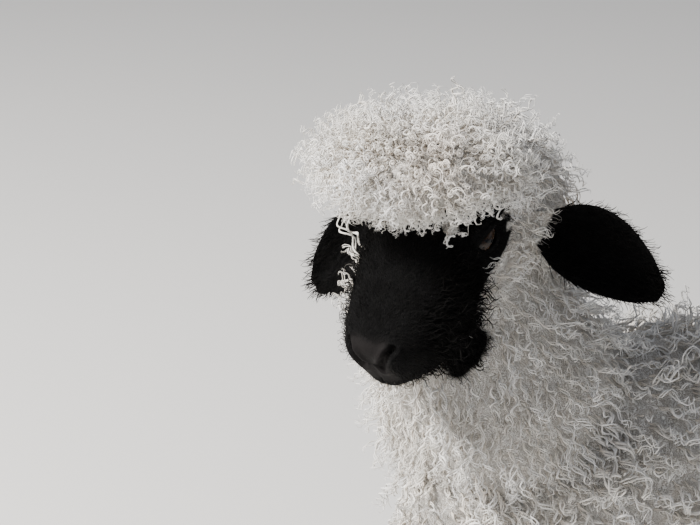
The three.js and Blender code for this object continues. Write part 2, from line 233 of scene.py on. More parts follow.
def crown(t, angle, lift=0.0):
    round_it = np.sin(np.pi * t)
    drop = 40 + 20 * np.cos(angle) ** 2
    height = np.where(t < 0.5, drop, 55) + lift
    forth = (94 + lift) * round_it * np.cos(angle)
    sideways = (90 + lift) * round_it * np.sin(angle)
    rise = height * -np.cos(np.pi * t)
    level_place = CROWN_CENTRE + forth[..., None] * facing + sideways[..., None] * leftward
    return level_place + rise[..., None] * vec(0, 0, 1)


# %% Ears: a broad leaf on a rolled stalk, cupped forwards
EAR_LENGTH, EAR_WIDTH = 122, 64
EAR_SHAPE = [[0, 0.42], [0.12, 0.5], [0.35, 0.92], [0.6, 1], [0.85, 0.78], [1, 0.5]]
ear_ways = {}


def ear(side, droop, sweep, arch):
    droop, sweep = np.radians(droop), np.radians(sweep)
    root = on_head(-32, side * 46, -22)
    outward = side * np.cos(sweep) * leftward - np.sin(sweep) * facing
    tip_way = np.cos(droop) * outward - np.sin(droop) * vec(0, 0, 1)
    cup_way = facing + vec(0, 0, 0.35)
    cup_way = unit(cup_way - cup_way.dot(tip_way) * tip_way)
    across_way = np.cross(tip_way, cup_way)
    ear_ways[side] = (root, tip_way, across_way, cup_way)

    def at(t, angle, lift=0.0):
        u = eased(t)
        end = blunt(t, 0.4)
        half = EAR_WIDTH / 2 * along(EAR_SHAPE, u) * end
        across = (half + lift * end) * np.cos(angle)
        cup = 0.42 * half * (across / np.maximum(half, 1)) ** 2 - 5 * np.sin(np.pi * u)
        thick = (4.5 + lift) * end * np.sin(angle)
        return (
            root
            + tip_way * (EAR_LENGTH * u + (u - 0.5) * 2 * lift)[..., None]
            + vec(0, 0, 1) * (arch * np.sin(np.pi * u))[..., None]
            + across_way * across[..., None]
            + cup_way * (cup + thick)[..., None]
        )

    return at


ear_left = ear(1, droop=22, sweep=15, arch=8)
ear_right = ear(-1, droop=45, sweep=-10, arch=0)

# %% [markdown]
# ## From forms to one skin
#
# The fleece hides most of the skin, so the body may be coarse and the face has to be fine. The body's
# forms are melted together by a voxel remesh, which leaves no seam. The head and the ears are grids
# of their own, joined to it by Booleans. Each form is shrunk by the depth of its coat, because the
# locks fill the rest up to the tips. The nape is a form of its own that fills the hollow between
# the cap and the neck.

# %% Helpers that make and change meshes
MM = 0.001


def new_object(name, data):
    obj = bpy.data.objects.new(name, data)
    bpy.context.scene.collection.objects.link(obj)
    return obj


def mesh_object(name, points, faces):
    mesh = bpy.data.meshes.new(name)
    mesh.from_pydata((np.asarray(points) * MM).tolist(), [], faces)
    return new_object(name, mesh)


def wrap(form, around, rings, lift=0.0):
    """Points and faces of a closed form, ring after ring from pole to pole."""
    t, angle = np.meshgrid(np.arange(1, rings) / rings, 2 * np.pi * np.arange(around) / around, indexing="ij")
    points = form(t, angle, lift).reshape(-1, 3)
    poles = form(np.array([1e-7, 1 - 1e-7]), np.zeros(2), lift)
    k, i = np.meshgrid(np.arange(rings - 2), np.arange(around), indexing="ij")
    j = (i + 1) % around
    here, there = k * around, (k + 1) * around
    quads = np.stack([here + i, here + j, there + j, there + i], -1).reshape(-1, 4)
    first, last = len(points), len(points) + 1
    i = np.arange(around)
    j = (i + 1) % around
    end = (rings - 2) * around
    faces = quads.tolist() + [[first, b, a] for a, b in zip(i, j)]
    faces += [[last, end + a, end + b] for a, b in zip(i, j)]
    points = np.concatenate([points, poles])
    corners = points[[f[:3] for f in faces]]
    if np.einsum("ij,ij->", corners[:, 0], np.cross(corners[:, 1], corners[:, 2])) < 0:
        faces = [f[::-1] for f in faces]
    return points, faces


def apply_modifiers(obj):
    evaluated = obj.evaluated_get(bpy.context.evaluated_depsgraph_get())
    obj.data = bpy.data.meshes.new_from_object(evaluated)
    obj.modifiers.clear()


def combine(obj, other, operation):
    cut = obj.modifiers.new(operation, "BOOLEAN")
    cut.operation, cut.solver, cut.object = operation, "MANIFOLD", other
    apply_modifiers(obj)
    bpy.data.objects.remove(other)


def coordinates(mesh):
    co = np.empty(len(mesh.vertices) * 3, np.float32)
    mesh.vertices.foreach_get("co", co)
    return co.reshape(-1, 3).astype(float)


# %% Melt the body's forms together
under_poll = CROWN_CENTRE - 36 * facing + vec(0, 0, 8)
nape = limb(bow(under_poll, vec(26, -178, 372), vec(14, -164, 318)), lambda u: 70 + 10 * u)

# Each row is a region, a form of it, and how far that form is lifted: minus the depth of its coat.
body_forms = [
    ("crown", crown, -22),
    ("neck", nape, -18),
    ("neck", neck, -16),
    ("tail", tail, -10),
    ("torso", torso, -17),
]
for name, joints in legs.items():
    coat_depth = 9 if name.startswith("fore") else 13
    for k, ((start, start_radius), (end, end_radius)) in enumerate(zip(joints, joints[1:])):
        label, lift = ("leg", -coat_depth) if k < 2 else ("shin", -1)
        body_forms.append((label, bone(start, end, start_radius, end_radius), lift))

points, faces = [], []
for _, form, lift in body_forms + [("face", head, -4)]:
    p, f = wrap(form, 48, 48, lift)
    faces += [[i + len(points) for i in face] for face in f]
    points += p.tolist()

skin = mesh_object("skin", points, faces)
melt = skin.modifiers.new("melt", "REMESH")
melt.mode, melt.voxel_size = "VOXEL", 5 * MM
relax = skin.modifiers.new("relax", "SMOOTH")
relax.factor, relax.iterations = 0.5, 8
apply_modifiers(skin)
co = coordinates(skin.data)
co[:, 2] = np.maximum(co[:, 2], 0.0)
skin.data.vertices.foreach_set("co", co.astype(np.float32).ravel())
print("body skin:", len(skin.data.polygons), "faces")

# %% [markdown]
# ## The face
#
# The face gets a fine grid of its own. Its features are small rises and grooves, each one a
# distance to a line or a spot on the head, pushed in or out along the surface: the mouth with its
# lips, the nostrils, the groove between them, the tear line, the brow and the cheek.

# %% Press the features into the head
def distance_to_line(points, line):
    """The shortest way from each point to a line of points."""
    best = np.full(len(points), 1e9)
    for a, b in zip(line, line[1:]):
        s = np.clip(((points - a) @ (b - a)) / ((b - a) @ (b - a)), 0, 1)
        best = np.minimum(best, np.linalg.norm(points - a - s[:, None] * (b - a), axis=1))
    return best


def hump(distance, width):
    return np.exp(-((distance / width) ** 2))


FACE_LIFT, EAR_LIFT = -1.5, -2.6
FACE_GRID = (200, 190)
s = np.linspace(-1, 1, 41)
mouth_line = head(0.915 - 0.25 * s * s, np.radians(-90 + 62 * np.sign(s) * np.sqrt(np.abs(s))))
face_points, face_faces = wrap(head, *FACE_GRID, FACE_LIFT)
outside, _ = wrap(head, *FACE_GRID, FACE_LIFT + 5)
outward = unit(outside - face_points)

to_mouth = distance_to_line(face_points, mouth_line)
push = 1.8 * hump(to_mouth, 7) - 4.2 * hump(to_mouth, 1.6)
for side in (-1, 1):
    nostril = on_head(vec(116, 114, 110, 106), side * vec(8, 12, 16, 19), vec(-29, -21, -15, -13))
    to_nostril = distance_to_line(face_points, nostril)
    push += 1.8 * hump(to_nostril - 4.5, 2.6) - 5.5 * hump(to_nostril, 2.1)
    tear = on_head(vec(26, 40, 56), side * vec(46, 47, 46), vec(-8, -18, -30))
    push -= 1.6 * hump(distance_to_line(face_points, tear), 4)
    for spot, width, height in (
        ((-14, 47, -52), 20, 3.0),  # the angle of the jaw
        ((4, 44, 14), 8, 2.4),  # the brow over the eye
        ((76, 42, -38), 14, 2.0),  # the side of the muzzle
        ((48, 40, -52), 12, -1.6),  # the hollow behind the corner of the mouth
        ((50, 46, -12), 26, 5.0),  # the cheek
    ):
        middle = on_head(spot[0], side * spot[1], spot[2])
        push += height * hump(np.linalg.norm(face_points - middle, axis=1), width)
philtrum = on_head(vec(118, 117, 113), vec(0, 0, 0), vec(-24, -38, -56))
push -= 1.7 * hump(distance_to_line(face_points, philtrum), 1.6)
face_points = face_points + outward * push[:, None]
face = mesh_object("face", face_points, face_faces)
print("face:", len(face_faces), "faces; deepest groove", round(-push.min(), 1), "mm")

# %% [markdown]
# ## Eyes and lids
#
# A sheep's eye is a wet ball of dark brown with a level bar for a pupil. It sits in a socket cut
# from the head, and the lids are a shell just over the ball with an almond opening. The
# shell is a closed ring: up the inside, round the margin and back down the outside, with a
# crease above it.

# %% Lids over the eyeballs
EYE_RADIUS = 11.5
eye_centres = {side: on_head(3, side * 39, -3) for side in (-1, 1)}
gazes = {side: unit(side * leftward + 0.17 * muzzle_way) for side in (-1, 1)}


def eye_axes(side, top):
    """An eye's gaze, its way to the front corner, and its way up."""
    gaze = gazes[side]
    forth = unit(muzzle_way - muzzle_way.dot(gaze) * gaze)
    rise = unit(top - top.dot(gaze) * gaze)
    return gaze, forth, rise


def polar(side, theta, phi, radius, top=crown_way):
    """A point round the eye: theta away from the gaze, phi round it from the front corner up."""
    gaze, forth, rise = eye_axes(side, top)
    ring = forth * np.cos(phi)[..., None] + rise * np.sin(phi)[..., None]
    way = gaze * np.cos(theta)[..., None] + ring * np.sin(theta)[..., None]
    return eye_centres[side] + way * radius[..., None]


def lid_ring(side):
    steps, almond, outer = 96, 1.7, 2.0
    phi = 2 * np.pi * np.arange(steps) / steps
    long, high = np.radians(58), np.where(np.sin(phi) > 0, np.radians(34), np.radians(29))
    edge = (np.abs(np.cos(phi) / long) ** almond + np.abs(np.sin(phi) / high) ** almond) ** (-1 / almond)
    loop = []
    for s in np.linspace(1, 0, 10):
        loop.append((edge + (outer - edge) * s, np.full(steps, EYE_RADIUS + 0.25)))
    for s in np.linspace(0, 1, 22):
        theta = edge - 0.06 + (outer - edge) * s
        crease = 0.9 * hump(theta - edge - 0.30, 0.07) * (np.sin(phi) > -0.2)
        loop.append((theta, EYE_RADIUS + 1.5 + 2.6 * np.sin(np.pi * min(1, s * 1.3)) - crease))
    rows = [polar(side, theta, phi, radius) for theta, radius in loop]
    quads = []
    for k in range(len(rows)):
        here, there = k * steps, (k + 1) % len(rows) * steps
        for i in range(steps):
            j = (i + 1) % steps
            quads.append([here + i, here + j, there + j, there + i])
    if side > 0:
        quads = [q[::-1] for q in quads]
    return mesh_object("lids", np.concatenate(rows), quads)


def socket_ball(side):
    def at(t, angle, lift):
        out, level = np.sin(np.pi * t), -np.cos(np.pi * t)
        way = np.stack([out * np.cos(angle), out * np.sin(angle), level], -1)
        return eye_centres[side] + (EYE_RADIUS + 0.9) * way

    return mesh_object("socket", *wrap(at, 48, 32))


for side in (-1, 1):
    combine(face, socket_ball(side), "DIFFERENCE")
    combine(face, lid_ring(side), "UNION")
print("face with lids:", len(face.data.polygons), "faces")

# %% Join the ears and the head to the body
combine(skin, face, "UNION")
for form in (ear_left, ear_right):
    combine(skin, mesh_object("ear_skin", *wrap(form, 72, 64, EAR_LIFT)), "UNION")
print("whole skin:", len(skin.data.polygons), "faces", len(skin.data.vertices), "points")

# %% [markdown]
# ## Markings and the lie of the coat
#
# Every point of the skin is told what grows there, how black it is and which way its coat lies.
# A point takes the name of the form that it lies nearest to. The numbers are kept as attributes, so
# that the skin's material and the Geometry Nodes of the coat read the same markings.

# %% Name the regions of the skin
head_forms = [("face", head, FACE_LIFT), ("ear", ear_left, EAR_LIFT), ("ear", ear_right, EAR_LIFT)]
sample_points, sample_names = [], []
for label, form, lift in body_forms + head_forms:
    p, _ = wrap(form, 40, 40, lift)
    sample_points.append(p)
    sample_names += [label] * len(p)
sample_points = np.concatenate(sample_points)
finder = KDTree(len(sample_points))
for i, p in enumerate(sample_points):
    finder.insert(p, i)
finder.balance()

skin_points = coordinates(skin.data) / MM
region = np.array([sample_names[finder.find(p)[1]] for p in skin_points])
edges = np.empty(len(skin.data.edges) * 2, np.int32)
skin.data.edges.foreach_get("vertices", edges)
a, b = edges.reshape(-1, 2).T


def spread(values, rounds=4):
    """Evens values out over neighbouring points, so that regions fade into one another."""
    values = np.array(values, float)
    count = np.bincount(a, minlength=len(skin_points)) + np.bincount(b, minlength=len(skin_points)) + 1
    for _ in range(rounds):
        total = values + np.bincount(a, values[b], len(skin_points))
        total += np.bincount(b, values[a], len(skin_points))
        values = total / count
    return values


def distance_to(spot):
    return np.linalg.norm(skin_points - spot, axis=1)


hx, hy, hz = in_head(skin_points).T
above_floor = skin_points[:, 2]

# The black fur of the left jowl runs on over the start of the throat.
jowl = on_head(vec(44, 56, 68), vec(37, 33, 22), vec(-72, -79, -85))
region[(region == "neck") & (distance_to_line(skin_points, jowl) < 9)] = "face"
is_ear, is_crown, is_neck = region == "ear", region == "crown", region == "neck"
is_leg = np.isin(region, ["leg", "shin"])

# Ringlets grow on the face too, above the brow. It dips at two spots, where the fringe hangs lower.
BROW_LEVEL = 384
brow = np.full(len(skin_points), float(BROW_LEVEL))
for drop, width, spot in ((22, 14, on_head(18, 30, 15)), (20, 12, on_head(24, -34, 12))):
    brow -= drop * hump(distance_to(spot), width)
under_fringe = (region == "face") & (above_floor >= brow)
is_face = (region == "face") & ~under_fringe

# %% Mark what is black
# The black of the face ends at this place along the head, told for each height. White wool comes
# forwards on the left cheek, so the edge has a step there.
edge_of_black = np.where(
    hy > 0,
    np.interp(hz, [-60, -34, -27, -24, -20, -12], [38, 40, 31, 12, -8, -30]),
    np.interp(hz, [-60, -38, -12], [18, 12, -30]),
)
face_black = smooth(-4, 4, hx - edge_of_black) * smooth(44, 30, hz - 0.6 * np.maximum(0, hx))
black = np.where(is_face, face_black, 0)
for side, (root, tip_way, _, _) in ear_ways.items():
    on_this_ear = is_ear & (np.sign(hy) == side)
    black = np.where(on_this_ear, smooth(18, 26, (skin_points - root) @ tip_way), black)
ragged = 4 * np.sin(skin_points @ vec(0.5, 0.2, 0.35)) * np.sin(skin_points @ vec(-0.2, 0.45, 0.3))
for name, joints in legs.items():
    knee_or_hock = joints[1][0] if name.startswith("fore") else joints[2][0]
    foot = joints[-1][0]
    for spot, radius in ((knee_or_hock, 34), (foot, 46)):
        near = smooth(radius + 4, radius - 4, distance_to(spot) + ragged)
        black = np.maximum(black, np.where(is_leg, near, 0))
black = spread(black, 2)


def cheek_line(side):
    return on_head(vec(6, 30, 56, 86), side * vec(50, 50, 47, 43), vec(14, 3, -5, -17))


# A strip of white curls runs down the right cheek, and a few wisps lie on the black of the left one.
cheek_curls = hump(distance_to_line(skin_points, cheek_line(-1)), 5) * is_face
black = black * (1 - np.minimum(1, 3 * cheek_curls))
left_wisps = cheek_line(1)[:2] + 8 * muzzle_way - 27 * crown_way
cheek_curls += 0.3 * hump(distance_to_line(skin_points, left_wisps), 4) * is_face

# %% Say where each coat grows, from 0 for nowhere to 1 for fully
eye_near = np.minimum(*(distance_to(centre) for centre in eye_centres.values()))
open_eye = smooth(EYE_RADIUS + 1.2, EYE_RADIUS + 2.6, eye_near)
nose = smooth(100, 107, hx) * smooth(-50, -42, hz) * smooth(-4, -10, hz) * smooth(19, 14, np.abs(hy))
lips = hump(distance_to_line(skin_points, mouth_line), 4) * is_face
off_floor = smooth(5, 14, above_floor)
white_head = (is_face | is_ear) & (black < 0.35) & (cheek_curls < 0.2)
white_leg = (is_leg | (region == "tail")) & (black < 0.5)
grows = {
    "ringlets": spread(is_crown | under_fringe),
    "neck_locks": spread(white_head | is_neck, 3) * open_eye * smooth(0.5, 0.2, black),
    "body_locks": spread(region == "torso", 10) * off_floor,
    "leg_locks": spread(white_leg, 2) * off_floor,
    "face_fur": spread((is_face | is_leg) & (black > 0.3), 2) * open_eye * (1 - nose) * (1 - 0.6 * lips),
    "face_curls": spread(is_face & (black > 0.3), 3) * open_eye * (1 - nose) * (1 - 0.5 * lips),
    "cheek_curls": cheek_curls,
    "ear_fur": spread(is_ear & (black > 0.3), 1),
}

# %% Say how long each lock is, against the length of its coat
from_crown = skin_points - CROWN_CENTRE
under_cap = smooth(8, -20, from_crown[:, 2])
tuft_tops = np.stack([
    52 * leftward + vec(0, 0, 42),
    20 * facing + vec(0, 0, 54),
    60 * facing - 44 * leftward + vec(0, 0, 34),
    78 * leftward - 45 * facing + vec(0, 0, 26),
])
peaks = sum(hump(np.linalg.norm(from_crown - top, axis=1), 24) for top in tuft_tops)
fringe = 0.75 * hump(distance_to(on_head(24, 46, 36)), 16) - 0.35 * hump(distance_to(on_head(44, 4, 48)), 16)
length = np.where(is_crown, 1.06 + 0.3 * peaks - 0.5 * under_cap + fringe, 1.0)
jaw = smooth(-52, -76, hz) * smooth(104, 84, hx)
cheeks = smooth(26, 42, np.abs(hy)) * smooth(100, 84, hx)
face_length = 0.75 + 0.9 * np.maximum(jaw, cheeks) + 0.2 * smooth(60, 0, hx) - 0.15 * smooth(94, 110, hx)
for place, value in (
    (is_face, face_length),
    (is_face & (np.abs(hx - 4) < 24) & (hz > -26), 0.6),  # round the eyes
    (is_face & (black < 0.6), 0.8),
    (region == "tail", 1.5),
    (region == "shin", 0.6),
):
    length = np.where(place, value, length)
length = spread(length, 6) * (0.5 + 0.5 * smooth(4, 42, above_floor))

# %% The way the coat lies at each point
down = vec(0, 0, -1)
lie = np.tile(vec(0, 0.7, -0.8), (len(skin_points), 1))
lie[is_neck] = vec(0, 0.25, -1)
lie[region == "tail"] = down
from_poll = from_crown * vec(1, 1, 0)
lie = np.where(is_crown[:, None], unit(from_poll + 1e-6) + 0.6 * down, lie)
lie[region == "face"] = unit(-muzzle_way + 0.5 * down)
lie[under_fringe & (above_floor < BROW_LEVEL)] = down
for side, (root, tip_way, across_way, _) in ear_ways.items():
    on_this_ear = is_ear & ((skin_points - root) @ tip_way > -8) & (np.sign(hy) == side)
    across = (skin_points - root) @ across_way
    fan = tip_way + across[:, None] / 45 * across_way
    lie[on_this_ear] = fan[on_this_ear]
for joints in legs.values():
    for (start, _), (end, _) in zip(joints, joints[1:]):
        near = is_leg & (distance_to((start + end) / 2) < 62)
        lie[near] = unit(end - start) + 0.3 * down
lie = np.stack([spread(column, 6) for column in unit(lie).T], -1)

# What points into the skin or out of it is taken away, so that a lock always leans along the skin.
normal = np.empty(len(skin_points) * 3, np.float32)
skin.data.vertex_normals.foreach_get("vector", normal)
normal = normal.reshape(-1, 3)
lie -= np.sum(lie * normal, 1, keepdims=True) * normal
lie /= np.maximum(np.linalg.norm(lie, axis=1, keepdims=True), 0.6)


def store(obj, name, values):
    kind, field = ("FLOAT_VECTOR", "vector") if values.ndim == 2 else ("FLOAT", "value")
    attribute = obj.data.attributes.new(name, kind, "POINT")
    attribute.data.foreach_set(field, values.astype(np.float32).ravel())


store(skin, "black", black)
store(skin, "nose", spread(nose, 2))
store(skin, "lie", lie)
store(skin, "length", length)
for name, share in grows.items():
    store(skin, name, share)
    print(f"{name}: {np.mean(share > 0.5):.0%} of the skin's points")

# %% [markdown]
# ## An unwrap of the skin
#
# Each tuft of the coat later takes its colour from one tiny patch of a picture, at the place of its
# root. For that the skin is unwrapped by its own shape, and the roots carry the place with them.

# %% Unwrap the skin
skin.data.uv_layers.new(name="OFBake")
bpy.context.view_layer.objects.active = skin
skin.select_set(True)
bpy.ops.object.mode_set(mode="EDIT")
bpy.ops.mesh.select_all(action="SELECT")
bpy.ops.uv.smart_project(angle_limit=1.2, island_margin=0.002)
bpy.ops.object.mode_set(mode="OBJECT")
skin.data.shade_smooth()
print("unwrapped", len(skin.data.uv_layers[0].data), "corners")

# %% [markdown]
# ## Wool, fur, horn and wet eye
#
# Wool is not one white. It is cream, whiter at the tips and a little tan where it is stained, and its
# sheen stands for the light between its fibres. Two noises in the object's space give the broad tints
# and the stains. The attribute `along`, which runs from root to tip, turns the colour to a darker
# cream towards the root: partly the yellower wool near the skin and partly painted shade in the depth
# of a lock. The attribute `black` turns the same material into black fur, so a marking has no
# edge in the mesh. The cheek's curls are rooted in black, so their own material ignores it.

# %% Materials
def shader(name, rough, **constants):
    """A node material whose Principled shader has these constants on its own sockets."""
    material = bpy.data.materials.new(name)
    material.use_nodes = True
    tree = material.node_tree
    surface = tree.nodes["Principled BSDF"]
    surface.inputs["Roughness"].default_value = rough
    for key, value in constants.items():
        surface.inputs[key.replace("_", " ")].default_value = value
    return material, tree, surface


def add(tree, kind, inputs=None, **settings):
    """Adds a node, sets it up and feeds its inputs with values or with other nodes' outputs."""
    node = tree.nodes.new(kind)
    for key, value in settings.items():
        setattr(node, key, value)
    for key, value in (inputs or {}).items():
        if isinstance(value, bpy.types.NodeSocket):
            tree.links.new(value, node.inputs[key])
        else:
            node.inputs[key].default_value = value
    return node


def maths(tree, operation, first, second=0.0):
    return add(tree, "ShaderNodeMath", {0: first, 1: second}, operation=operation).outputs[0]


def times(tree, first, second):
    return maths(tree, "MULTIPLY", first, second)


def mixed(tree, factor, first, second):
    """One colour turning into another as factor goes from 0 to 1."""
    node = add(tree, "ShaderNodeMix", {0: factor}, data_type="RGBA")
    ends = [i for i in node.inputs if i.type == "RGBA"]
    for end, value in zip(ends, (first, second)):
        if isinstance(value, bpy.types.NodeSocket):
            tree.links.new(value, end)
        else:
            end.default_value = (*value, 1)
    return next(o for o in node.outputs if o.type == "RGBA")


def ramp(tree, value, low, high):
    inputs = {"Value": value, "From Min": low, "From Max": high}
    return add(tree, "ShaderNodeMapRange", inputs).outputs["Result"]


def noise(tree, place, scale, detail, output=0):
    inputs = {"Vector": place, "Scale": scale, "Detail": detail}
    return add(tree, "ShaderNodeTexNoise", inputs).outputs[output]


def vectors(tree, operation, first, second=(0, 0, 0), scale=None):
    inputs = {0: first} if operation in ("NORMALIZE", "SCALE") else {0: first, 1: second}
    if scale is not None:
        inputs["Scale"] = scale
    return add(tree, "ShaderNodeVectorMath", inputs, operation=operation).outputs[0]


def bump(tree, height, strength, distance, **others):
    inputs = {"Height": height, "Strength": strength, "Distance": distance, **others}
    return add(tree, "ShaderNodeBump", inputs).outputs["Normal"]


def marked_by(tree, name):
    return add(tree, "ShaderNodeAttribute", attribute_name=name).outputs["Fac"]


def object_place(tree):
    return add(tree, "ShaderNodeTexCoord").outputs["Object"]


WHITE, CREAM, TAN = (0.93, 0.92, 0.90), (0.86, 0.83, 0.77), (0.66, 0.54, 0.42)
BLACK, SOOT = (0.0025, 0.0024, 0.0026), (0.006, 0.0055, 0.005)
# The darker cream at the roots of a lock: partly yellower wool, partly painted shade.
ROOT_TINT_AND_SHADE = (0.66, 0.60, 0.52)
STAIN_PLACE, STAIN_REACH = (0.142, -0.262, 0.437), 0.055
EDGE_OF_MARKING = (0.35, 0.65)


def coat_material(name, root_tint_and_shade_reach, marked=1.0, **constants):
    material, tree, surface = shader(name, 0.8, **constants)
    place = object_place(tree)
    tint, dirt = noise(tree, place, 22.0, 3.0), noise(tree, place, 9.0, 2.0)
    marking = times(tree, marked_by(tree, "black"), marked)
    wool = mixed(tree, ramp(tree, tint, 0.35, 0.6), CREAM, WHITE)
    wool = mixed(tree, ramp(tree, dirt, 0.62, 0.75), wool, TAN)
    from_stain = add(tree, "ShaderNodeVectorMath", {0: place, 1: STAIN_PLACE}, operation="DISTANCE")
    stain = times(tree, ramp(tree, from_stain.outputs["Value"], STAIN_REACH, 0.0), tint)
    wool = mixed(tree, stain, wool, TAN)
    # Painted shade: towards its root a lock darkens to the root colour, which also holds the yellower wool
    # near the skin.
    wool = mixed(tree, ramp(tree, marked_by(tree, "along"), 0.0, root_tint_and_shade_reach), ROOT_TINT_AND_SHADE, wool)
    fur = mixed(tree, tint, BLACK, SOOT)
    colour = mixed(tree, ramp(tree, marking, *EDGE_OF_MARKING), wool, fur)
    tree.links.new(colour, surface.inputs["Base Color"])
    return material


wool = coat_material("wool", 0.5, Sheen_Weight=0.2, Specular_IOR_Level=0.25)
cheek_wool = coat_material("cheek_wool", 0.1, marked=0.0, Sheen_Weight=0.2, Specular_IOR_Level=0.25)
fur = coat_material("fur", 0.1, Specular_IOR_Level=0.08)


def skin_material():
    material, tree, surface = shader("skin", 0.8, Specular_IOR_Level=0.12)
    place = object_place(tree)
    strands = []
    for scale, direction in ((48.0, "DIAGONAL"), (75.0, "Z")):
        bend = vectors(tree, "SCALE", noise(tree, place, scale, 3.0, "Color"), scale=0.04)
        inputs = {"Vector": vectors(tree, "ADD", place, bend), "Scale": 210.0, "Distortion": 4.0}
        inputs["Detail Scale"] = 3.0
        strands.append(add(tree, "ShaderNodeTexWave", inputs, bands_direction=direction).outputs[1])
    curls = times(tree, maths(tree, "MAXIMUM", *strands), noise(tree, place, 110.0, 2.0))
    bare = marked_by(tree, "nose")
    # Painted shade: the wool ground under the locks is a darker brownish cream in the hollows of the curl
    # pattern, standing for deep wool in shade.
    shaded_wool_ground = mixed(tree, ramp(tree, curls, 0.1, 0.55), (0.50, 0.45, 0.39), (0.88, 0.86, 0.82))
    colour = mixed(tree, ramp(tree, marked_by(tree, "black"), *EDGE_OF_MARKING), shaded_wool_ground, BLACK)
    colour = mixed(tree, bare, colour, (0.006, 0.005, 0.005))
    tree.links.new(colour, surface.inputs["Base Color"])
    pores = bump(tree, noise(tree, place, 420.0, 3.0), 0.5, 0.001)
    curly = times(tree, curls, ramp(tree, bare, 1.0, 0.0))
    tree.links.new(bump(tree, curly, 0.9, 0.003, Normal=pores), surface.inputs["Normal"])
    return material


skin.data.materials.clear()
skin.data.materials.append(skin_material())

# %% [markdown]
# ## One tree that grows every coat
#
# A lock is one to three strands that wind round one another. Each strand starts as a straight line
# that is sent up a widening coil and then swept into a thin tube of three sides. Four locks, wound
# tighter, looser and the other way, are enough, because each is turned and scaled at random.
# Distribute Points on Faces puts roots on the skin, none nearer to another than the spacing, and the
# lie and the skin's normal give each lock its direction. A slow noise makes neighbours lean together,
# which parts the fleece into tufts, and a fast one frizzes the strands towards their tips.

# %% Build the strand as a group of nodes
def socket(tree, name, kind, in_out="INPUT"):
    tree.interface.new_socket(name, in_out=in_out, socket_type="NodeSocket" + kind)


def keep(tree, geometry, name, value, **settings):
    """Stores a value on a geometry under a name."""
    inputs = {"Geometry": geometry, "Name": name, "Value": value}
    return add(tree, "GeometryNodeStoreNamedAttribute", inputs, **settings).outputs[0]


strand = bpy.data.node_groups.new("strand", "GeometryNodeTree")
for name in ("Ring", "Reach", "Turns", "Phase", "Thickness"):
    socket(strand, name, "Float")
socket(strand, "Steps", "Int")
socket(strand, "Mesh", "Geometry", in_out="OUTPUT")
asks = add(strand, "NodeGroupInput").outputs
line = add(strand, "GeometryNodeCurvePrimitiveLine")
line = add(strand, "GeometryNodeResampleCurve", {"Curve": line.outputs[0], "Count": asks["Steps"]})
s = add(strand, "GeometryNodeSplineParameter").outputs["Factor"]
angle = maths(strand, "ADD", times(strand, times(strand, s, asks["Turns"]), 2 * np.pi), asks["Phase"])
widening, closing = maths(strand, "POWER", s, 0.6), maths(strand, "POWER", s, 5.0)
r = times(strand, maths(strand, "SUBTRACT", widening, times(strand, closing, 0.45)), asks["Ring"])
bent = times(strand, maths(strand, "POWER", s, 2.0), times(strand, asks["Reach"], 0.25))
x = maths(strand, "ADD", times(strand, r, maths(strand, "COSINE", angle)), bent)
y = times(strand, r, maths(strand, "SINE", angle))
hanging = times(strand, maths(strand, "POWER", s, 4.0), 0.25)
z = times(strand, maths(strand, "SUBTRACT", s, hanging), asks["Reach"])
spot = add(strand, "ShaderNodeCombineXYZ", {0: x, 1: y, 2: z})
line = add(strand, "GeometryNodeSetPosition", {"Geometry": line.outputs[0], "Position": spot.outputs[0]})
line = keep(strand, line.outputs[0], "along", s)
profile = add(strand, "GeometryNodeCurvePrimitiveCircle", {"Resolution": 3, "Radius": asks["Thickness"]})
around = add(strand, "GeometryNodeSplineParameter").outputs["Factor"]
profile = keep(strand, profile.outputs[0], "around", around)
taper = maths(strand, "SUBTRACT", 1.0, times(strand, maths(strand, "POWER", s, 3.0), 0.7))
inputs = {"Curve": line, "Profile Curve": profile, "Scale": taper, "Fill Caps": True}
tube = add(strand, "GeometryNodeCurveToMesh", inputs)
add(strand, "NodeGroupOutput", {"Mesh": tube.outputs[0]})

# %% Build the tree that grows a coat
coat = bpy.data.node_groups.new("coat", "GeometryNodeTree")
SIZES = ("Spacing", "Ring", "Reach", "Turns", "Thickness", "Lean", "Tufting", "Tuft size", "Frizz", "Uneven")
COUNTS = ("Steps", "Strands", "Seed")
socket(coat, "Skin", "Geometry")
socket(coat, "Grows where", "String")
for names, kind in ((SIZES, "Float"), (COUNTS, "Int")):
    for name in names:
        socket(coat, name, kind)
socket(coat, "Material", "Material")
socket(coat, "Coat", "Geometry", in_out="OUTPUT")
asks = add(coat, "NodeGroupInput").outputs


def named(tree, name, kind="FLOAT"):
    return add(tree, "GeometryNodeInputNamedAttribute", {"Name": name}, data_type=kind).outputs["Attribute"]


inputs = {
    "Mesh": asks["Skin"],
    "Distance Min": asks["Spacing"],
    "Density Max": maths(coat, "DIVIDE", 4.0, maths(coat, "POWER", asks["Spacing"], 2.0)),
    "Density Factor": named(coat, asks["Grows where"]),
    "Seed": asks["Seed"],
}
roots = add(coat, "GeometryNodeDistributePointsOnFaces", inputs, distribute_method="POISSON")
root_place = named(coat, "OFBake", "FLOAT_VECTOR")
points = keep(coat, roots.outputs["Points"], "root place", root_place, data_type="FLOAT_VECTOR")

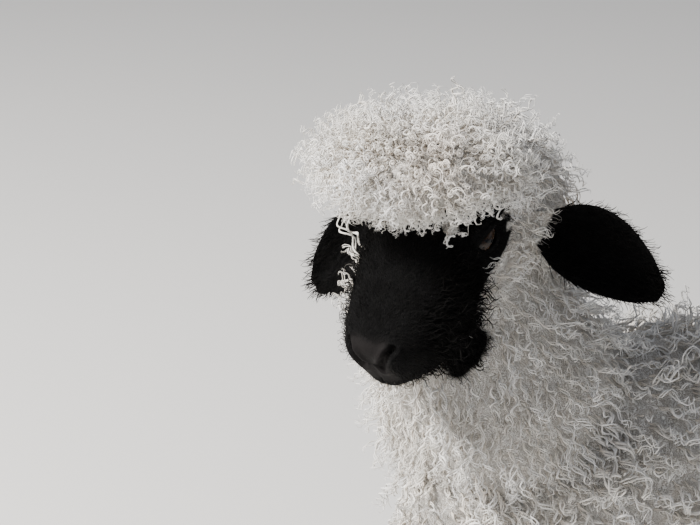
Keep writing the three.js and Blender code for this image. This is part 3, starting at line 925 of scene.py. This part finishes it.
place = add(coat, "GeometryNodeInputPosition").outputs[0]
per_metre = maths(coat, "DIVIDE", 1.0, asks["Tuft size"])
slow = add(coat, "ShaderNodeTexNoise", {"Vector": place, "Scale": per_metre, "Detail": 1.0})
sway = vectors(coat, "SUBTRACT", slow.outputs["Color"], (0.5, 0.5, 0.5))
sway = vectors(coat, "SCALE", sway, scale=times(coat, asks["Tufting"], 4.0))
lean = vectors(coat, "SCALE", named(coat, "lie", "FLOAT_VECTOR"), scale=asks["Lean"])
way = vectors(coat, "ADD", vectors(coat, "ADD", roots.outputs["Normal"], lean), sway)
inputs = {0: (-1, -1, -1), 1: (1, 1, 1), "Seed": asks["Seed"]}
any_way = add(coat, "FunctionNodeRandomValue", inputs, data_type="FLOAT_VECTOR").outputs[0]
inputs = {0: vectors(coat, "NORMALIZE", way), 1: any_way}
turned = add(coat, "FunctionNodeAxesToRotation", inputs, primary_axis="Z", secondary_axis="X")

locks = add(coat, "GeometryNodeJoinGeometry")
for tightness, handed, width in ((1.0, 1, 1.0), (0.72, -1, 1.25), (1.3, 1, 0.8), (1.0, -1, 0.95)):
    bundle = add(coat, "GeometryNodeJoinGeometry")
    for k, (phase, spread_out) in enumerate(((0.0, 1.0), (0.75, 0.8), (-0.7, 1.15))):
        inputs = {
            "Ring": times(coat, asks["Ring"], width * spread_out),
            "Reach": times(coat, asks["Reach"], 1 + 0.06 * (k - 1)),
            "Turns": times(coat, asks["Turns"], tightness * handed),
            "Phase": phase,
            "Thickness": asks["Thickness"],
            "Steps": asks["Steps"],
        }
        one = add(coat, "GeometryNodeGroup", inputs, node_tree=strand)
        more_than = {"data_type": "INT", "operation": "GREATER_THAN"}
        wanted = add(coat, "FunctionNodeCompare", {2: asks["Strands"], 3: k}, **more_than).outputs[0]
        inputs = {"Switch": wanted, "True": one.outputs[0]}
        switch = add(coat, "GeometryNodeSwitch", inputs, input_type="GEOMETRY")
        coat.links.new(switch.outputs[0], bundle.inputs[0])
    as_one = add(coat, "GeometryNodeGeometryToInstance", {0: bundle.outputs[0]})
    coat.links.new(as_one.outputs[0], locks.inputs[0])

pick = add(coat, "FunctionNodeRandomValue", {4: 0, 5: 3, "Seed": asks["Seed"]}, data_type="INT").outputs[2]
low = maths(coat, "SUBTRACT", 1.0, asks["Uneven"])
high = maths(coat, "ADD", 1.0, asks["Uneven"])
inputs = {2: low, 3: high, "Seed": asks["Seed"]}
size = add(coat, "FunctionNodeRandomValue", inputs, data_type="FLOAT").outputs[1]
swell = maths(coat, "ADD", 0.3, times(coat, slow.outputs[0], 1.4))
inputs = {
    "Points": points,
    "Instance": locks.outputs[0],
    "Pick Instance": True,
    "Instance Index": pick,
    "Rotation": turned.outputs[0],
    "Scale": times(coat, times(coat, size, swell), named(coat, "length")),
}
grown = add(coat, "GeometryNodeInstanceOnPoints", inputs)
grown = add(coat, "GeometryNodeRealizeInstances", {0: grown.outputs[0]})

finer = maths(coat, "DIVIDE", 0.45, asks["Ring"])
jumble = add(coat, "ShaderNodeTexNoise", {"Vector": place, "Scale": finer, "Detail": 1.0})
jumble = vectors(coat, "SUBTRACT", jumble.outputs["Color"], (0.5, 0.5, 0.5))
frizz = times(coat, times(coat, asks["Frizz"], 2.0), named(coat, "along"))
jumble = vectors(coat, "SCALE", jumble, scale=frizz)
moved = add(coat, "GeometryNodeSetPosition", {"Geometry": grown.outputs[0], "Offset": jumble})
xyz = add(coat, "ShaderNodeSeparateXYZ", {0: place}).outputs
LOWEST = 0.0006
over_floor = maths(coat, "MAXIMUM", xyz[2], LOWEST)
above = add(coat, "ShaderNodeCombineXYZ", {0: xyz[0], 1: xyz[1], 2: over_floor}).outputs[0]
moved = add(coat, "GeometryNodeSetPosition", {"Geometry": moved.outputs[0], "Position": above})

PATCH = 0.003
patch = add(coat, "ShaderNodeCombineXYZ", {0: named(coat, "along"), 1: named(coat, "around")})
patch = vectors(coat, "SCALE", vectors(coat, "SUBTRACT", patch.outputs[0], (0.5, 0.5, 0)), scale=PATCH)
patch = vectors(coat, "ADD", named(coat, "root place", "FLOAT_VECTOR"), patch)
mapped = keep(coat, moved.outputs[0], "OFBake", patch, data_type="FLOAT2", domain="CORNER")
soft = add(coat, "GeometryNodeSetShadeSmooth", {0: mapped, 2: True})
done = add(coat, "GeometryNodeSetMaterial", {"Geometry": soft.outputs[0], "Material": asks["Material"]})
add(coat, "NodeGroupOutput", {"Coat": done.outputs[0]})

# %% Grow each coat
# Lengths are in metres. An under coat hides the skin and is short and thick, and longer locks stand
# over it. The ringlets and the body's locks are grown as two layers each, because one would pass the
# number of triangles that a piece may have. Both layers cover the whole of their region.
SOCKETS = {item.name: item.identifier for item in coat.interface.items_tree if item.in_out == "INPUT"}
DROPPED = ("lie", "root place", "around", "nose", *grows)
COLUMNS = ("Material", "Grows where", *SIZES, *COUNTS)
COATS = [
    # Name, material and mask, then spacing, ring, reach, turns, thickness, lean, tufting, tuft size,
    # frizz, uneven, steps, strands and seed.
    ("ringlets_under", wool, "ringlets",
     0.0056, 0.0028, 0.016, 2.0, 0.00055, 1.4, 0.5, 0.022, 0.0012, 0.2, 15, 2, 11),
    ("ringlets_left", wool, "ringlets",
     0.0069, 0.003, 0.028, 3.0, 0.0004, 0.9, 0.6, 0.022, 0.0016, 0.25, 21, 2, 12),
    ("ringlets_right", wool, "ringlets",
     0.0069, 0.0034, 0.027, 2.6, 0.00042, 0.9, 0.6, 0.022, 0.0016, 0.3, 20, 2, 13),
    ("ringlets_stray", wool, "ringlets",
     0.009, 0.004, 0.031, 2.2, 0.00022, 0.6, 0.9, 0.015, 0.004, 0.3, 20, 1, 14),
    ("cheek_curls", cheek_wool, "cheek_curls",
     0.0028, 0.003, 0.023, 2.2, 0.00035, 0.7, 0.5, 0.015, 0.0016, 0.3, 21, 2, 21),
    ("neck_under", wool, "neck_locks",
     0.0085, 0.0034, 0.022, 1.6, 0.0006, 1.8, 0.6, 0.03, 0.003, 0.25, 13, 2, 31),
    ("neck_locks", wool, "neck_locks",
     0.0092, 0.0036, 0.034, 1.8, 0.00042, 1.2, 0.7, 0.03, 0.004, 0.25, 15, 3, 32),
    ("body_under", wool, "body_locks",
     0.0112, 0.005, 0.028, 1.6, 0.0009, 1.8, 0.6, 0.04, 0.004, 0.25, 11, 2, 51),
    ("body_locks_near", wool, "body_locks",
     0.0165, 0.005, 0.04, 2.0, 0.00055, 1.3, 0.7, 0.04, 0.005, 0.25, 15, 3, 52),
    ("body_locks_far", wool, "body_locks",
     0.0165, 0.005, 0.038, 2.3, 0.00055, 1.3, 0.7, 0.04, 0.005, 0.25, 15, 3, 53),
    ("leg_locks", wool, "leg_locks",
     0.0067, 0.003, 0.021, 1.4, 0.0006, 1.5, 0.5, 0.03, 0.002, 0.25, 8, 2, 71),
    ("face_fur", fur, "face_fur",
     0.0019, 0.0004, 0.0075, 0.3, 0.00022, 2.0, 0.35, 0.02, 0.0008, 0.3, 3, 1, 91),
    ("face_fur_curls", fur, "face_curls",
     0.0031, 0.0018, 0.0115, 1.4, 0.00022, 1.0, 0.5, 0.015, 0.0014, 0.35, 9, 1, 92),
    ("ear_fur", fur, "ear_fur",
     0.0015, 0.0008, 0.011, 0.3, 0.0002, 2.0, 0.7, 0.015, 0.002, 0.4, 4, 1, 95),
]


def grow(name, *values):
    """Runs the coat tree on the skin and keeps what it makes as a plain mesh."""
    holder = new_object(name, skin.data)
    modifier = holder.modifiers.new("coat", "NODES")
    modifier.node_group = coat
    for column, value in zip(COLUMNS, values, strict=True):
        modifier[SOCKETS[column]] = value
    mesh = bpy.data.meshes.new_from_object(holder.evaluated_get(bpy.context.evaluated_depsgraph_get()))
    bpy.data.objects.remove(holder)
    for extra in DROPPED:
        if extra in mesh.attributes:
            mesh.attributes.remove(mesh.attributes[extra])
    mesh.calc_loop_triangles()
    print(f"{name}: {len(mesh.loop_triangles)} triangles")
    return new_object(name, mesh)


coats = [grow(*row) for row in COATS]
print("coat:", sum(len(piece.data.loop_triangles) for piece in coats), "triangles in all")

# %% [markdown]
# ## Eyes
#
# Each eyeball is a ball with the cornea standing a little proud. The pupil is a level bar, as a
# sheep's is. Two numbers are kept at each point, how far round from the gaze it lies and how far
# it is from the bar, and the material draws the iris and the pupil from them.

# %% Eyeballs
def eyeball(side, name):
    level_top = vec(0, 0, 1)
    gaze, forth, rise = eye_axes(side, level_top)

    def at(t, angle, lift):
        theta = np.pi * t
        return polar(side, theta, angle, EYE_RADIUS + 0.7 * smooth(0.75, 0.35, theta), level_top)

    eye = mesh_object(name, *wrap(at, 64, 48))
    ways = unit(coordinates(eye.data) / MM - eye_centres[side])
    store(eye, "from_gaze", np.arccos(np.clip(ways @ gaze, -1, 1)))
    bar = (np.abs(ways @ forth) / 0.36) ** 3 + (np.abs(ways @ rise) / 0.13) ** 3
    store(eye, "from_bar", np.where(ways @ gaze > 0, bar, 9))
    eye.data.shade_smooth()
    return eye


def eye_material():
    material, tree, surface = shader("eye", 0.10, Specular_IOR_Level=0.3)
    flecks = noise(tree, object_place(tree), 900.0, 3.0)
    iris = mixed(tree, ramp(tree, flecks, 0.35, 0.7), (0.012, 0.006, 0.003), (0.034, 0.017, 0.007))
    colour = mixed(tree, ramp(tree, marked_by(tree, "from_bar"), 1.3, 0.8), iris, (0.002, 0.002, 0.003))
    white_of_eye = ramp(tree, marked_by(tree, "from_gaze"), 0.62, 0.75)
    colour = mixed(tree, white_of_eye, colour, (0.012, 0.008, 0.007))
    tree.links.new(colour, surface.inputs["Base Color"])
    return material


eyes = [eyeball(1, "eye_ball_left"), eyeball(-1, "eye_ball_right")]
wet = eye_material()
for eye in eyes:
    eye.data.materials.append(wet)
    print(eye.name, len(eye.data.polygons), "faces")

# %% [markdown]
# ## Claws
#
# A hoof is two claws of dark horn side by side. The solids hold them as plain blocks with a sloping
# toe. A copy of each block is rounded off and narrowed towards its tip. The horn is streaked along
# the foot.

# %% Round the claws
def horn_material():
    material, tree, surface = shader("horn", 0.5, Specular_IOR_Level=0.15)
    inputs = {"Vector": object_place(tree), "Scale": (1200, 60, 900)}
    streaks = noise(tree, add(tree, "ShaderNodeMapping", inputs).outputs[0], 1.0, 3.0)
    colour = mixed(tree, ramp(tree, streaks, 0.35, 0.7), SOOT, (0.013, 0.011, 0.0095))
    tree.links.new(colour, surface.inputs["Base Color"])
    tree.links.new(bump(tree, streaks, 0.2, 0.0004), surface.inputs["Normal"])
    return material


horn = horn_material()
claws = []
for name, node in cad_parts.items():
    if name.startswith("claw"):
        claw = new_object("rounded_" + name, node.data.copy())
        grid = claw.modifiers.new("grid", "REMESH")
        grid.mode, grid.voxel_size = "VOXEL", 1.5 * MM
        soften = claw.modifiers.new("soften", "SMOOTH")
        soften.factor, soften.iterations = 0.5, 14
        apply_modifiers(claw)
        joints = legs[name.split("_", 2)[2]]
        to_toe = unit((joints[-1][0] - joints[-2][0]) * vec(1, 1, 0))
        beside = np.cross(vec(0, 0, 1), to_toe)
        points = coordinates(claw.data) / MM
        reach, width = points @ to_toe, points @ beside
        s = (reach - reach.min()) / np.ptp(reach)
        narrowing = 0.42 * s**2
        points -= ((width - width.mean()) * narrowing)[:, None] * beside
        claw.data.vertices.foreach_set("co", (points * MM).astype(np.float32).ravel())
        claw.data.shade_smooth()
        claw.data.materials.clear()
        claw.data.materials.append(horn)
        claws.append((claw, name))
print(len(claws), "claws, the first of", len(claws[0][0].data.polygons), "faces")

# %% [markdown]
# ## Floor, light and the last step
#
# A pale floor and two softboxes make a plain studio: a strong light at the left of the picture and a
# weak one that fills the shade. The floor is staging and not a part of the lamb. Then each piece is
# told which body it rides on and which solids it replaces.

# %% Floor and light
floor_mesh = bpy.data.meshes.new("floor")
floor_mesh.from_pydata([(-8, -8, 0), (8, -8, 0), (8, 8, 0), (-8, 8, 0)], [], [(0, 1, 2, 3)])
floor = new_object("floor", floor_mesh)
ground, _, ground_surface = shader("floor", 0.6)
ground_surface.inputs["Base Color"].default_value = (0.80, 0.79, 0.77, 1)
floor.data.materials.append(ground)

world = bpy.data.worlds.new("studio")
bpy.context.scene.world = world
world.use_nodes = True
sky = world.node_tree.nodes["Background"].inputs
sky["Color"].default_value, sky["Strength"].default_value = (0.86, 0.9, 1.0, 1), 0.32


AIM = Vector((0.03, -0.15, 0.3))


def softbox(name, place, size, power, colour):
    data = bpy.data.lights.new(name, "AREA")
    data.shape, data.size, data.energy, data.color = "SQUARE", size, power, colour
    light = new_object(name, data)
    light.location = place
    light.rotation_euler = (Vector(place) - AIM).to_track_quat("Z", "Y").to_euler()


softbox("key", (-0.1, -2.3, 2.1), 0.6, 235, (1.0, 0.97, 0.93))
softbox("fill", (2.4, 0.8, 1.4), 1.6, 5, (0.9, 0.95, 1.0))

# %% Hand the pieces over
NODES = ["crown", "neck", "face", "ear_left", "ear_right", "torso", "tail"]
NODES += ["foreleg_left", "foreleg_right", "hindleg_left", "hindleg_right"]
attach(skin, "root")
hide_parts(*NODES)
for eye, node in zip(eyes, ("eye_left", "eye_right")):
    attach(eye, "root")
    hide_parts(node)
for claw, node in claws:
    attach(claw, "root")
    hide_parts(node)
for piece in coats:
    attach(piece, "root")
bpy.context.view_layer.update()
